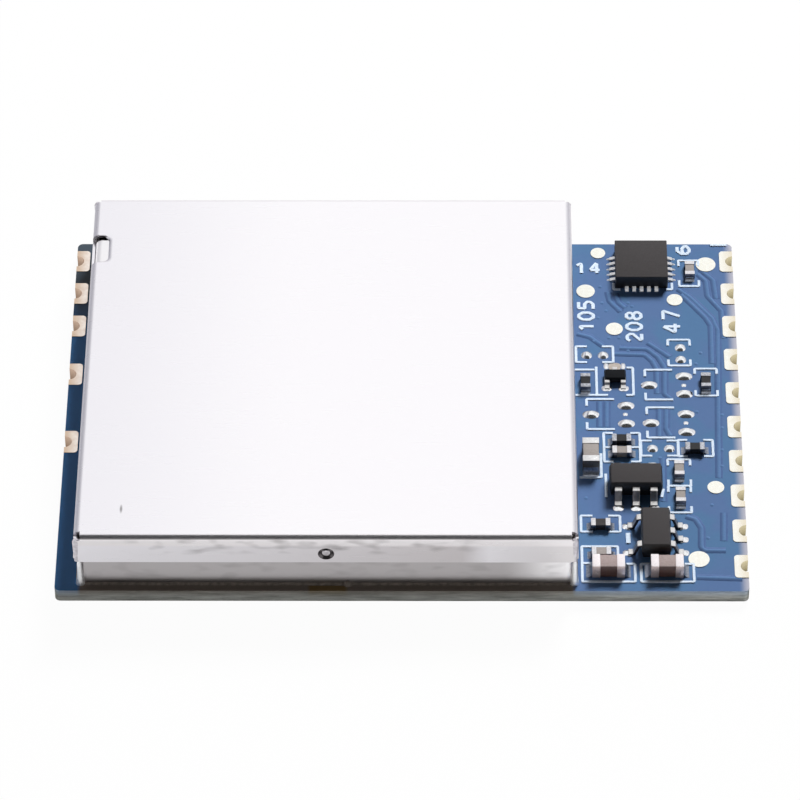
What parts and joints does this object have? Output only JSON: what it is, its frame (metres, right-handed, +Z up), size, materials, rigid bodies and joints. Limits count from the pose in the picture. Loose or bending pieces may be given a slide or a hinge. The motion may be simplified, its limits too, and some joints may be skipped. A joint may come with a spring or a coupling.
{
  "type": "video transmitter module",
  "caption": "Castellated circuit board with a folded metal shield can over its radio section and a strip of small chips and capacitors; it sends a camera's picture by radio.",
  "frame": {"origin": "middle of the board's underside", "axes": "+X along the board towards the long contact row, +Y to the board's rear edge, +Z up out of the parts side"},
  "size_m": [0.0366, 0.026, 0.0046],
  "materials": {
    "laminate": "gloss",
    "gold_plating": "satin",
    "solder": "polished",
    "lid_steel": "satin",
    "frame_steel": "satin",
    "moulding": "matte",
    "lead_tin": "satin",
    "end_tin": "satin",
    "brown_ceramic": "satin",
    "grey_ceramic": "satin",
    "resistor_coat": "satin",
    "coil_ceramic": "satin",
    "crystal_ceramic": "matte",
    "crystal_metal": "satin"
  },
  "bodies": {
    "root": {"circuit_board": "laminate", "right_edge_contacts": "gold_plating", "left_edge_contacts": "gold_plating", "test_pads": "gold_plating", "solder_lands": "solder", "frame_solder": "solder", "shield_lid": "lid_steel", "shield_frame": "frame_steel", "controller_chip": "moulding", "regulator_body": "moulding", "amplifier_body": "moulding", "transistor_body": "moulding", "radio_chip": "moulding", "power_amplifier_chip": "moulding", "controller_terminals": "lead_tin", "regulator_leads": "lead_tin", "amplifier_leads": "lead_tin", "transistor_leads": "lead_tin", "radio_chip_terminals": "lead_tin", "power_amplifier_terminals": "lead_tin", "front_capacitor_left_ends": "end_tin", "front_capacitor_right_ends": "end_tin", "bulk_capacitor_ends": "end_tin", "small_capacitor_ends": "end_tin", "small_resistor_ends": "end_tin", "inner_capacitor_ends": "end_tin", "filter_coil_ends": "end_tin", "front_capacitor_left": "brown_ceramic", "front_capacitor_right": "brown_ceramic", "bulk_capacitor": "grey_ceramic", "small_capacitor_1": "grey_ceramic", "small_capacitor_2": "grey_ceramic", "small_capacitor_3": "grey_ceramic", "small_capacitor_4": "grey_ceramic", "small_capacitor_5": "grey_ceramic", "small_capacitor_6": "grey_ceramic", "inner_capacitors": "grey_ceramic", "small_resistor_1": "resistor_coat", "small_resistor_2": "resistor_coat", "small_resistor_3": "resistor_coat", "small_resistor_4": "resistor_coat", "filter_coils": "coil_ceramic", "crystal_base": "crystal_ceramic", "crystal_cover": "crystal_metal"}
  },
  "joints": []
}
